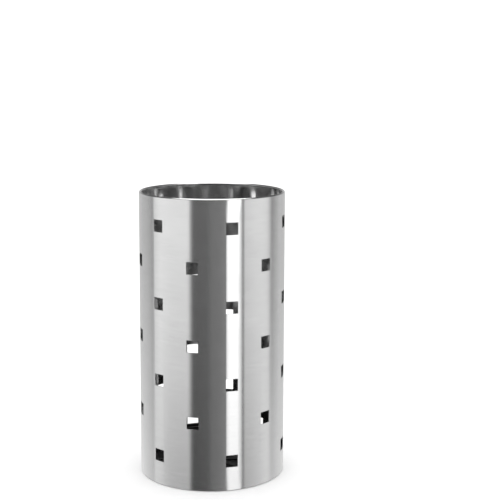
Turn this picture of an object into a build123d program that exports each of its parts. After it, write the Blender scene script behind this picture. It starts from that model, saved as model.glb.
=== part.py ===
from build123d import *
import os
from math import cos, degrees, radians, sin

# Free-standing umbrella stand: a perforated stainless tube with a curled rim, a spot-welded base pan on
# four push-in rubber feet, and a plastic drip tray that lifts out through the top.
# Millimetres. +Z is up, the origin is on the floor under the tube's axis, and -Y is the front.

# Driving dimensions
overall_height = 500.0
outer_diameter = 254.0
sheet = 1.0  # thickness of the rolled tube
floor_gap = 1.5  # from the floor to the tube's lower edge
rim_bead_radius = 2.5  # outside radius of the curled rim
rim_curl_angle = 285.0  # how far round the rim's edge is curled, in degrees

columns = 12  # of holes round the tube
column_step = 30.3  # degrees between columns; the gap that holds the seam is what is left of the turn
columns_before_front = 4  # from the seam clockwise to the front, which is midway between two columns
rows = 7  # of holes up the tube: a column has every second one
row_pitch = 66.3
top_row_depth = 49.7  # from the rim down to the middle of the top row
hole_side = 21.0
hole_corner = 0.5
punch_travel = 5.0  # of the punch, each way from the tube's surface

seam_width = 1.2  # of the weld through the sheet
seam_bead_width = 3.0  # of the weld's raised bead inside the tube
seam_bead_height = 0.4
seam_bead_clearance = 2.0  # from the bead's ends to the base flange and to the curled rim

base_sheet = 1.2
base_level = 4.0  # underside of the base pan
base_flange_height = 14.0
base_bend_radius = 2.5  # outside radius of the bend into the flange

foot_count = 4
foot_circle_radius = 100.0
foot_radius = 12.0
foot_edge = 1.0
foot_neck_radius = 4.0
foot_head_radius = 5.5
foot_head_height = 3.0

tray_wall = 2.0
tray_height = 33.0
tray_foot_radius = 112.0  # outside of the wall where it rests on the base
tray_rim_radius = 117.0  # outside of the wall under the lip
tray_lip_radius = 120.0
tray_lip_depth = 4.0
tray_lip_round = 0.6
tray_floor_rise = 4.0  # clearance under the tray's floor
tray_ribs = 8
tray_rib_inner = 20.0
tray_rib_outer = 100.0
tray_rib_width = 2.5
tray_rib_height = 4.0

# Worked out from those
outer_radius = outer_diameter / 2
inner_radius = outer_radius - sheet
first_row = overall_height - top_row_depth - (rows - 1) * row_pitch
front_azimuth = -90.0  # -Y
first_column = front_azimuth - (columns_before_front - 0.5) * column_step
seam_gap = 360.0 - (columns - 1) * column_step
seam_azimuth = first_column - seam_gap / 2
curl_level = overall_height - rim_bead_radius
seam_angle = degrees(seam_width / outer_radius)
seam_bead_angle = degrees(seam_bead_width / inner_radius)
base_top = base_level + base_sheet


def revolved(profile, arc=360.0, start=0.0):
    """A profile drawn in radius and height, turned about Z through arc degrees from the azimuth start."""
    return revolve(Plane.XZ.rotated((0, 0, start)) * profile, axis=Axis.Z, revolution_arc=arc)


def tube_profile():
    """Section of the sheet: a straight wall whose top edge is curled inwards into a bead."""
    centre = (outer_radius - rim_bead_radius, curl_level)
    inside = rim_bead_radius - sheet
    with BuildSketch() as section:
        with BuildLine():
            Line((inner_radius, floor_gap), (outer_radius, floor_gap))
            Line((outer_radius, floor_gap), (outer_radius, curl_level))
            outer_arc = CenterArc(centre, rim_bead_radius, 0, rim_curl_angle)
            inner_arc = CenterArc(centre, inside, 0, rim_curl_angle)
            Line(outer_arc @ 1, inner_arc @ 1)
            Line((inner_radius, curl_level), (inner_radius, floor_gap))
        make_face()
    return section.sketch


def hole_cutters():
    """A radial punch for each hole. Neighbouring columns are half a step apart up the tube."""
    cutters = []
    punch = extrude(RectangleRounded(hole_side, hole_side, hole_corner), punch_travel, both=True)
    for column in range(columns):
        azimuth = radians(first_column + column * column_step)
        for row in range(rows):
            if (row + column) % 2:
                continue
            level = first_row + row * row_pitch
            outwards = Plane(
                origin=(outer_radius * cos(azimuth), outer_radius * sin(azimuth), level),
                x_dir=(-sin(azimuth), cos(azimuth), 0),
                z_dir=(cos(azimuth), sin(azimuth), 0),
            )
            cutters.append(outwards * punch)
    return cutters


def body_shell():
    """The perforated tube, rolled from one sheet, with a narrow gap at the back left for the weld."""
    tube = revolved(tube_profile(), 360.0 - seam_angle, seam_azimuth + seam_angle / 2)
    return tube - hole_cutters()


def seam_weld():
    """Butt weld that closes the tube: dressed flush outside, a low bead inside above the base flange."""
    web = revolved(tube_profile(), seam_angle, seam_azimuth - seam_angle / 2)
    bead_bottom = base_level + base_flange_height + seam_bead_clearance
    bead_top = curl_level - rim_bead_radius - seam_bead_clearance
    bead = Pos(inner_radius - seam_bead_height / 2, (bead_bottom + bead_top) / 2) * Rectangle(
        seam_bead_height, bead_top - bead_bottom
    )
    return web + revolved(bead, seam_bead_angle, seam_azimuth - seam_bead_angle / 2)


def foot_places():
    """Where the feet stand, as locations on the floor, midway between the axes."""
    places = []
    for index in range(foot_count):
        azimuth = radians(360.0 / foot_count * (index + 0.5))
        places.append(Pos(foot_circle_radius * cos(azimuth), foot_circle_radius * sin(azimuth), 0))
    return places


def base_pan():
    """Pressed disc with an upturned flange, spot-welded inside the tube, and a hole for each foot."""
    flange_top = base_level + base_flange_height
    bend_inside = base_bend_radius - base_sheet
    centre = (inner_radius - base_bend_radius, base_level + base_bend_radius)
    with BuildSketch() as section:
        with BuildLine():
            Line((0, base_top), (0, base_level))
            Line((0, base_level), (centre[0], base_level))
            outer_arc = CenterArc(centre, base_bend_radius, -90, 90)
            Line(outer_arc @ 1, (inner_radius, flange_top))
            Line((inner_radius, flange_top), (inner_radius - base_sheet, flange_top))
            Line((inner_radius - base_sheet, flange_top), (inner_radius - base_sheet, centre[1]))
            CenterArc(centre, bend_inside, -90, 90)
            Line((centre[0], base_top), (0, base_top))
        make_face()
    pan = revolved(section.sketch)
    holes = [place * Cylinder(foot_neck_radius, 2 * base_flange_height) for place in foot_places()]
    return pan - holes


def rubber_foot():
    """Bumper pressed through the base pan: a pad below, a neck in the hole, a barbed head above."""
    head_top = base_top + foot_head_height
    with BuildSketch() as section:
        with BuildLine():
            Polyline(
                (0, 0),
                (foot_radius - foot_edge, 0),
                (foot_radius, foot_edge),
                (foot_radius, base_level),
                (foot_neck_radius, base_level),
                (foot_neck_radius, base_top),
                (foot_head_radius, base_top),
                (foot_neck_radius, head_top),
                (0, head_top),
                close=True,
            )
        make_face()
    return revolved(section.sketch)


def drip_tray():
    """Shallow plastic tray with a rolled-out lip to lift it by and ribs that hold the tips off the water."""
    floor_bottom = base_top + tray_floor_rise
    floor_top = floor_bottom + tray_wall
    rim_top = base_top + tray_height
    lip_bottom = rim_top - tray_lip_depth
    foot_inside = tray_foot_radius - tray_wall
    rim_inside = tray_rim_radius - tray_wall
    with BuildSketch() as section:
        with BuildLine():
            Polyline(
                (0, floor_bottom),
                (foot_inside, floor_bottom),
                (foot_inside, base_top),
                (tray_foot_radius, base_top),
                (tray_rim_radius, lip_bottom + tray_wall),
                (tray_lip_radius - tray_wall / 2, lip_bottom + tray_wall),
                (tray_lip_radius - tray_wall / 2, lip_bottom),
                (tray_lip_radius, lip_bottom),
                (tray_lip_radius, rim_top),
                (rim_inside, rim_top),
                (foot_inside, floor_top),
                (0, floor_top),
                close=True,
            )
        make_face()
        corners = section.sketch.vertices().filter_by(lambda v: v.Y > rim_top - tray_lip_round)
        fillet(corners, tray_lip_round)
    tray = revolved(section.sketch)
    rib_length = tray_rib_outer - tray_rib_inner
    rib = Pos(tray_rib_inner + rib_length / 2, 0, floor_top + tray_rib_height / 2) * Box(
        rib_length, tray_rib_width, tray_rib_height
    )
    rib = fillet(rib.edges().group_by(Axis.Z)[-1], tray_rib_width / 3)
    for index in range(tray_ribs):
        tray += Rot(0, 0, 360.0 / tray_ribs * index) * rib
    return tray


def main():
    os.makedirs("parts", exist_ok=True)
    nodes = {
        "body_shell": body_shell(),
        "seam_weld": seam_weld(),
        "base_pan": base_pan(),
        "drip_tray": drip_tray(),
    }
    sides = ("back_right", "back_left", "front_left", "front_right")
    for side, place in zip(sides, foot_places()):
        nodes[f"rubber_foot_{side}"] = place * rubber_foot()
    for name, shape in nodes.items():
        export_step(shape, f"parts/{name}.step")
        print(name, "volume mm3", round(shape.volume), "solids", len(shape.solids()))


main()
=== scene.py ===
from math import cos, pi, radians, sin

import bpy
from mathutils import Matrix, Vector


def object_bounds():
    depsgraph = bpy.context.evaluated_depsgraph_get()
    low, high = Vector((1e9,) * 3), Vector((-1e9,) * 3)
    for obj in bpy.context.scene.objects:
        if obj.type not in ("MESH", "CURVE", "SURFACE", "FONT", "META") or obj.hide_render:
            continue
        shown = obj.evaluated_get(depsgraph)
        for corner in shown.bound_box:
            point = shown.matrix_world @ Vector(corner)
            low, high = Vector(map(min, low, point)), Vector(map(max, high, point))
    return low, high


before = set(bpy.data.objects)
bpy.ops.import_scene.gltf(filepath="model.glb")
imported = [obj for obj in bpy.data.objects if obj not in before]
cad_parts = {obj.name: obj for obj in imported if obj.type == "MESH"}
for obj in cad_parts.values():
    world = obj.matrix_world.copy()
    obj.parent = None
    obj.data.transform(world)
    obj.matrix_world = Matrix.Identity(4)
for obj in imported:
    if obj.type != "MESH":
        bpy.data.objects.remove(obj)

cad_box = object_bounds()
low, high = cad_box
mm = 0.001
height = high.z
radius = (high.x - low.x) / 2
sheet = 1.0 * mm
rim_bead = 5.0 * mm  # across the curled rim


# ---------------------------------------------------------------- node helpers
def new_material(name):
    """A node material and its Principled shader."""
    material = bpy.data.materials.new(name)
    material.use_nodes = True
    return material, material.node_tree.nodes["Principled BSDF"]


def feed(tree, node, inputs):
    """Set a node's inputs. Each is a constant, or the output socket that feeds it."""
    for key, value in inputs.items():
        if isinstance(value, bpy.types.NodeSocket):
            tree.links.new(value, node.inputs[key])
        else:
            node.inputs[key].default_value = value


def add(tree, kind, inputs=None, **settings):
    """A new node with its settings and inputs."""
    node = tree.nodes.new(kind)
    for name, value in settings.items():
        setattr(node, name, value)
    feed(tree, node, inputs or {})
    return node


def maths(tree, operation, *values):
    """One Math node's result."""
    return add(tree, "ShaderNodeMath", dict(enumerate(values)), operation=operation).outputs[0]


def weighted(tree, first, share, second):
    """This share of the first value, and the rest of the second."""
    part = maths(tree, "MULTIPLY", first, share)
    rest = maths(tree, "MULTIPLY", second, 1.0 - share)
    return maths(tree, "ADD", part, rest)


def ramp(tree, factor, stops):
    """A grey ramp through (position, brightness) stops."""
    node = add(tree, "ShaderNodeValToRGB", {0: factor})
    elements = node.color_ramp.elements
    while len(elements) < len(stops):
        elements.new(0.5)
    for element, (position, value) in zip(elements, stops):
        element.position = position
        element.color = (value, value, value, 1)
    return node.outputs[0]


def grey_mix(tree, factor, dark, light):
    """A grey between two others."""
    inputs = {0: factor, 6: (dark, dark, dark, 1), 7: (light, light, light, 1)}
    return add(tree, "ShaderNodeMix", inputs, data_type="RGBA").outputs[2]


def blended(tree, factor, first, second):
    """A number between two others."""
    return add(tree, "ShaderNodeMix", {0: factor, 2: first, 3: second}).outputs[0]


def mapped(tree, value, low_out, high_out, low_in=0.0, high_in=1.0, **settings):
    """A value carried from one range to another, and held at the ends."""
    inputs = {0: value, 1: low_in, 2: high_in, 3: low_out, 4: high_out}
    return add(tree, "ShaderNodeMapRange", inputs, **settings).outputs[0]


def scaled_place(tree, across, up):
    """Where a point is on the object, stretched by these numbers of features per metre."""
    place = add(tree, "ShaderNodeTexCoord").outputs["Object"]
    return add(tree, "ShaderNodeMapping", {"Vector": place, "Scale": (across, across, up)}).outputs[0]


def noise(tree, where, detail=2.0, roughness=0.5):
    """A soft noise from 0 to 1, whose features are about one unit of the stretched place across."""
    inputs = {"Vector": where, "Scale": 1.0, "Detail": detail, "Roughness": roughness}
    return add(tree, "ShaderNodeTexNoise", inputs).outputs["Fac"]


def tinted(tree, factor, tone, swing):
    """A grey that swings about its tone by this share of it."""
    return grey_mix(tree, factor, tone * (1 - swing), tone * (1 + swing))


def varied(tree, value, middle, swing, used):
    """A number that swings about its middle while the value goes through the range that is used."""
    return mapped(tree, value, middle - swing, middle + swing, *used)


def bumped(tree, relief, strength, depth, under=None):
    """The normal of a bumpy surface. The bumps can lie on another bumpy surface."""
    inputs = {"Height": relief, "Strength": strength, "Distance": depth}
    if under is not None:
        inputs["Normal"] = under
    return add(tree, "ShaderNodeBump", inputs).outputs[0]


# ---------------------------------------------------------------- materials
def brush(tree, shader, tone, roughness):
    """A steel brushed round the tube: fine level grain, so that highlights run up and down."""
    used = (0.35, 0.65)  # the part of the grain's range that shows
    hairline = noise(tree, scaled_place(tree, across=16, up=1400), roughness=0.6)
    streaks = noise(tree, scaled_place(tree, across=40, up=500), roughness=0.6)
    cloud = noise(tree, scaled_place(tree, across=6, up=14))
    grain = weighted(tree, hairline, 0.4, streaks)
    wear = weighted(tree, streaks, 0.3, cloud)
    round_the_tube = add(tree, "ShaderNodeTangent", direction_type="RADIAL", axis="Z").outputs[0]
    feed(tree, shader, {
        "Base Color": tinted(tree, mapped(tree, grain, 0.0, 1.0, *used), tone, swing=0.045),
        "Roughness": varied(tree, wear, roughness, swing=0.03, used=(0.25, 0.75)),
        "Metallic": mapped(tree, grain, 1.0, 0.97, *used),  # scratches scatter a little light every way
        "Normal": bumped(tree, grain, strength=0.3, depth=0.03 * mm),
        "Tangent": round_the_tube,
        "Anisotropic": 1,
        "Anisotropic Rotation": 0.25,
    })


def roll(tree, shader, tone, roughness):
    """Steel as the mill leaves it: smooth, cold-rolled, a little wavy, with no brushing."""
    waves = noise(tree, scaled_place(tree, across=22, up=14), detail=1.0)
    pores = noise(tree, scaled_place(tree, across=500, up=500))
    cloud = noise(tree, scaled_place(tree, across=30, up=12), detail=3.0)
    ripple = bumped(tree, waves, strength=0.5, depth=0.4 * mm)
    feed(tree, shader, {
        "Base Color": tinted(tree, cloud, tone, swing=0.15),
        "Roughness": varied(tree, cloud, roughness, swing=0.03, used=(0.3, 0.7)),
        "Metallic": 1,
        "Normal": bumped(tree, pores, strength=0.2, depth=0.02 * mm, under=ripple),
    })


def brushed_sheet(name):
    """The tube's sheet: brushed on the outside and over the curled rim, as rolled on the inside."""
    material, outside = new_material(name)
    tree = material.node_tree
    brush(tree, outside, tone=0.62, roughness=0.205)
    inside = add(tree, "ShaderNodeBsdfPrincipled")
    roll(tree, inside, tone=0.74, roughness=0.13)
    place = add(tree, "ShaderNodeTexCoord").outputs["Object"]
    level = add(tree, "ShaderNodeVectorMath", {0: place, 1: (1, 1, 0)}, operation="MULTIPLY").outputs[0]
    out = add(tree, "ShaderNodeVectorMath", {0: level}, operation="LENGTH").outputs["Value"]
    up = add(tree, "ShaderNodeSeparateXYZ", {0: place}).outputs[2]
    # One finish gives way to the other inside the sheet's thickness, and just below the curled rim
    inner = mapped(tree, out, 1.0, 0.0, radius - 0.7 * sheet, radius - 0.3 * sheet)
    below = mapped(tree, up, 1.0, 0.0, height - 1.5 * rim_bead, height - rim_bead)
    share = maths(tree, "MULTIPLY", inner, below)
    mix = add(tree, "ShaderNodeMixShader", {0: share, 1: outside.outputs[0], 2: inside.outputs[0]})
    tree.links.new(mix.outputs[0], tree.nodes["Material Output"].inputs["Surface"])
    return material


def dull_steel(name):
    """The base pan's steel, rolled like the tube's inside but darker and duller."""
    material, shader = new_material(name)
    roll(material.node_tree, shader, tone=0.5, roughness=0.36)
    return material


def moulded_plastic(name, tone, roughness):
    """Dark plastic or rubber with the fine texture of its mould."""
    material, shader = new_material(name)
    tree = material.node_tree
    grain = noise(tree, scaled_place(tree, across=1200, up=1200))
    cloud = noise(tree, scaled_place(tree, across=25, up=25), detail=3.0)
    feed(tree, shader, {
        "Base Color": grey_mix(tree, cloud, dark=tone * 0.8, light=tone * 1.25),
        "Roughness": varied(tree, cloud, roughness, swing=0.06, used=(0.3, 0.7)),
        "Normal": bumped(tree, grain, strength=0.25, depth=0.1 * mm),
    })
    return material


def paint(node, material):
    """Give a CAD piece its only material."""
    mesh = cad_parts[node].data
    mesh.materials.clear()
    mesh.materials.append(material)


steel = brushed_sheet("brushed_stainless")
paint("body_shell", steel)
paint("seam_weld", steel)
paint("base_pan", dull_steel("pan_steel"))
paint("drip_tray", moulded_plastic("tray_plastic", tone=0.02, roughness=0.45))
rubber = moulded_plastic("foot_rubber", tone=0.02, roughness=0.75)
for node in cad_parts:
    if node.startswith("rubber_foot"):
        paint(node, rubber)


# ---------------------------------------------------------------- floor
floor_reach = 12.0  # metres from the stand to the floor's edges
floor_tone = 0.85
floor_roughness = 0.9


def floor():
    """A square of white paper under the stand. Glossy rays don't see it, so the steel doesn't mirror it."""
    corners = [(x * floor_reach, y * floor_reach, 0) for x, y in ((-1, -1), (1, -1), (1, 1), (-1, 1))]
    mesh = bpy.data.meshes.new("floor")
    mesh.from_pydata(corners, [], [(0, 1, 2, 3)])
    mesh.update()
    plane = bpy.data.objects.new("floor", mesh)
    bpy.context.scene.collection.objects.link(plane)
    material, shader = new_material("floor_paper")
    paper = (floor_tone, floor_tone, floor_tone, 1)
    feed(material.node_tree, shader, {"Base Color": paper, "Roughness": floor_roughness})
    mesh.materials.append(material)
    plane.visible_glossy = False


# ---------------------------------------------------------------- light
# What the studio's panels look like from the stand, as stops of (degrees round from the front, towards
# the right; brightness level with the stand; brightness low down)
panels = [
    (-180, 0.60, 1.00), (-150, 0.68, 1.15), (-125, 0.62, 1.05), (-113, 0.50, 1.00), (-106, 0.36, 0.90),
    (-102, 1.04, 0.84), (-90, 1.42, 0.55), (-75, 1.58, 0.14), (-50, 1.69, 0.00), (-37, 1.72, 0.00),
    (-33, 0.60, 0.00), (-29.5, 0.24, 0.00), (-24, 0.19, 0.02), (-8, 0.20, 0.05), (0, 0.255, 0.14),
    (18, 0.275, 0.22), (22.6, 0.31, 0.28), (24.8, 2.5, 0.90), (46.0, 2.5, 0.90), (47.3, 0.21, 0.20),
    (49.8, 0.21, 0.20), (51.4, 1.30, 0.20), (70, 1.33, 0.36), (85, 1.26, 0.60), (96, 1.08, 0.86),
    (102, 0.70, 1.00), (108, 0.33, 1.05), (118, 0.52, 1.05), (132, 0.72, 1.05), (180, 0.60, 1.00),
]
level_column = 1  # of the table above
low_column = 2
brightest = 3.0  # what a ramp's white stands for, above every brightness in the table
low_start = -10.0  # degrees of elevation between which the panels change to their brightness low down
low_end = -24.0
ceiling_start = 4.0  # degrees of elevation between which the panels give way to the dark of the room
ceiling_end = 20.0
ceiling_brightness = 0.12
softbox_start = 54.0  # degrees of elevation between which the soft box overhead begins
softbox_end = 62.0
softbox_brightness = 4.0
room_brightness = 1.5  # all round, for every ray that isn't glossy


def round_the_horizon(tree, position, column):
    """One brightness of the panels, from how far round the direction is."""
    stops = [((stop[0] + 180) / 360, stop[column] / brightest) for stop in panels]
    return maths(tree, "MULTIPLY", ramp(tree, position, stops), brightest)


def studio_light():
    """The world: panels, a dark ceiling and a soft box for glossy rays, and an even light for the rest."""
    world = bpy.data.worlds.new("studio")
    bpy.context.scene.world = world
    world.use_nodes = True
    tree = world.node_tree
    direction = add(tree, "ShaderNodeTexCoord").outputs["Generated"]
    x, y, z = add(tree, "ShaderNodeSeparateXYZ", {0: direction}).outputs
    turn = maths(tree, "ARCTAN2", x, maths(tree, "MULTIPLY", y, -1.0))
    position = maths(tree, "ADD", maths(tree, "DIVIDE", turn, 2 * pi), 0.5)
    elevation = maths(tree, "DIVIDE", maths(tree, "ARCSINE", z), radians(1))
    downwards = mapped(tree, elevation, 0.0, 1.0, low_start, low_end, interpolation_type="SMOOTHSTEP")
    upwards = mapped(tree, elevation, 0.0, 1.0, ceiling_start, ceiling_end)
    overhead = mapped(tree, elevation, 0.0, 1.0, softbox_start, softbox_end)
    level_panels = round_the_horizon(tree, position, level_column)
    low_panels = round_the_horizon(tree, position, low_column)
    seen = blended(tree, downwards, level_panels, low_panels)
    seen = blended(tree, upwards, seen, ceiling_brightness)
    seen = blended(tree, overhead, seen, softbox_brightness)
    glossy = add(tree, "ShaderNodeLightPath").outputs["Is Glossy Ray"]
    strength = blended(tree, glossy, room_brightness, seen)
    feed(tree, tree.nodes["Background"], {"Color": (1, 1, 1, 1), "Strength": strength})


# ---------------------------------------------------------------- camera
camera_sensor = 36  # mm across
camera_lens = 86.29
camera_shift = -0.04
camera_distance = 16.317 * radius
camera_height = 5.828 * radius
camera_turn = radians(-0.01)  # round the stand from its front, towards the right
camera_pitch = radians(8.506)  # downwards
camera_yaw = radians(1.800)  # past the stand, to the right
camera_roll = radians(0.211)


def camera():
    """The photograph's viewing angle: from the front, a little above the rim, looking slightly down."""
    lens = bpy.data.cameras.new("camera")
    lens.sensor_width = camera_sensor
    lens.lens = camera_lens
    lens.shift_y = camera_shift
    holder = bpy.data.objects.new("camera", lens)
    bpy.context.scene.collection.objects.link(holder)
    holder.location = (camera_distance * sin(camera_turn), -camera_distance * cos(camera_turn), camera_height)
    holder.rotation_euler = (pi / 2 - camera_pitch, -camera_roll, camera_turn - camera_yaw)
    bpy.context.scene.camera = holder


floor()
studio_light()
camera()
bpy.context.scene.view_settings.view_transform = "Standard"
